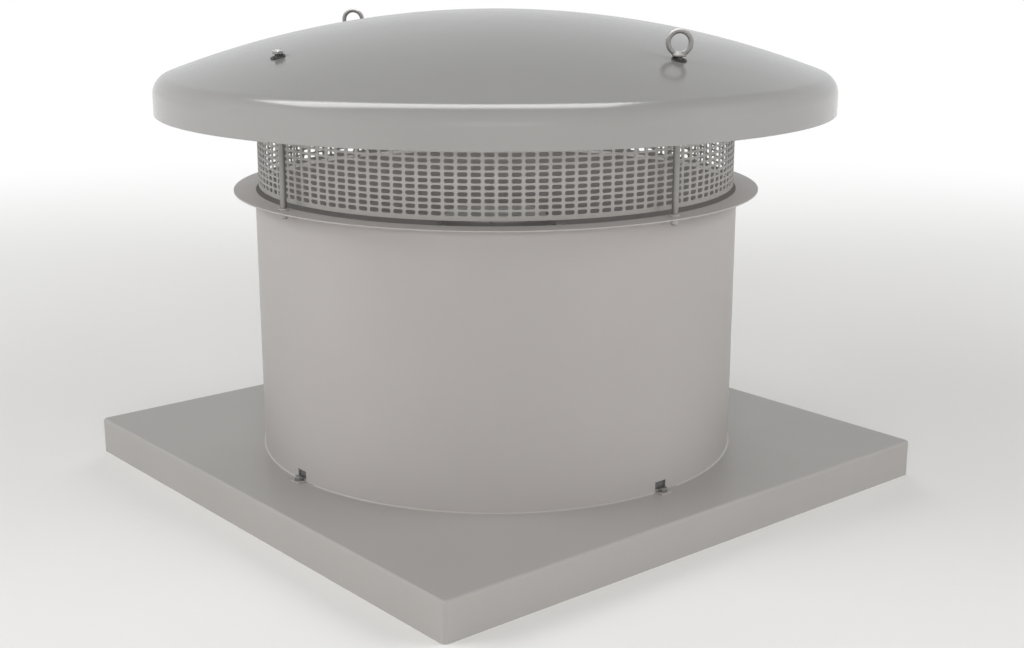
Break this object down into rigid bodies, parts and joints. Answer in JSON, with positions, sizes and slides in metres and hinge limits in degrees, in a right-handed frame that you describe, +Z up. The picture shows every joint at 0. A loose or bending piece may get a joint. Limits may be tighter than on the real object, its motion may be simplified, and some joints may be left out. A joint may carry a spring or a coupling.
{
  "type": "roof exhaust fan",
  "caption": "Roof exhaust fan: square curb base, round casing with a vertical-shaft axial impeller, slotted outlet guard and rain dome on tie rods with lifting eyes.",
  "frame": {"origin": "centre of the square base, level with the lower edge of its skirt", "axes": "+Z up along the fan's axis, X and Y along the sides of the base, lifting eyes on X"},
  "size_m": [0.881, 0.881, 0.622],
  "materials": {
    "base_sheet": "satin light grey powder coat on folded steel sheet",
    "casing_sheet": "satin light grey powder coat on rolled steel sheet",
    "dome_sheet": "satin light grey powder coat on spun sheet",
    "guard_sheet": "satin light grey coat",
    "seal_rubber": "matt black EPDM",
    "sealant": "grey polyurethane bead",
    "zinc_fasteners": "bright zinc plate",
    "rod_steel": "zinc-plated steel",
    "support_paint": "grey coat on welded steel",
    "motor_castings": "grey enamel on cast aluminium",
    "core_steel": "stacked silicon steel sheets",
    "winding_copper": "varnished copper wire",
    "bearing_steel": "ground bearing steel",
    "cage_brass": "turned brass",
    "shaft_steel": "turned steel",
    "gland_plastic": "black polyamide",
    "hub_alloy": "cast aluminium",
    "blade_alloy": "cast aluminium"
  },
  "bodies": {
    "housing": {"base_plate": "base_sheet", "curb_seal": "seal_rubber", "casing": "casing_sheet", "foot_sealant": "sealant", "foot_bolts": "zinc_fasteners", "foot_washers": "zinc_fasteners", "foot_nuts": "zinc_fasteners", "rivet_nuts": "zinc_fasteners", "eye_rods": "rod_steel", "plain_rods": "rod_steel", "dome": "dome_sheet", "rubber_washers": "seal_rubber", "dome_top_nuts": "zinc_fasteners", "dome_under_washers": "zinc_fasteners", "dome_under_nuts": "zinc_fasteners", "guard_bars": "guard_sheet", "guard_hoops": "guard_sheet", "guard_clips": "zinc_fasteners", "motor_support": "support_paint", "support_arms": "support_paint", "support_pads": "support_paint", "motor_bolts": "zinc_fasteners", "motor_washers": "zinc_fasteners", "motor_nuts": "zinc_fasteners", "drive_end_shield": "motor_castings", "motor_frame": "motor_castings", "rear_end_shield": "motor_castings", "shield_screws": "zinc_fasteners", "stator_core": "core_steel", "stator_windings": "winding_copper", "bearing_outer_rings": "bearing_steel", "terminal_box": "motor_castings", "terminal_block": "gland_plastic", "lid_gasket": "seal_rubber", "terminal_lid": "motor_castings", "lid_screws": "zinc_fasteners", "cable_gland": "gland_plastic", "gland_nut": "gland_plastic", "gland_seal": "seal_rubber"},
    "impeller": {"shaft": "shaft_steel", "rotor_core": "core_steel", "bearing_inner_rings": "bearing_steel", "shaft_seal": "seal_rubber", "shaft_key": "shaft_steel", "hub_upper": "hub_alloy", "hub_lower": "hub_alloy", "hub_bolts": "zinc_fasteners", "hub_nuts": "zinc_fasteners", "retaining_washer": "zinc_fasteners", "retaining_bolt": "zinc_fasteners", "blade_1": "blade_alloy", "blade_2": "blade_alloy", "blade_3": "blade_alloy", "blade_4": "blade_alloy", "blade_5": "blade_alloy", "blade_6": "blade_alloy"},
    "ball_cages": {"bearing_cages": "cage_brass", "bearing_balls": "bearing_steel"}
  },
  "joints": [
    {"name": "impeller_spin", "type": "hinge", "parent": "housing", "child": "impeller", "pos_m": [0, 0, 0.135], "axis": [0, 0, 1], "continuous": true},
    {"name": "cage_spin", "type": "hinge", "parent": "housing", "child": "ball_cages", "pos_m": [0, 0, 0.284], "axis": [0, 0, 1], "continuous": true}
  ],
  "couplings": [
    {"joint": "cage_spin", "follows": "impeller_spin", "ratio": 0.3815}
  ]
}
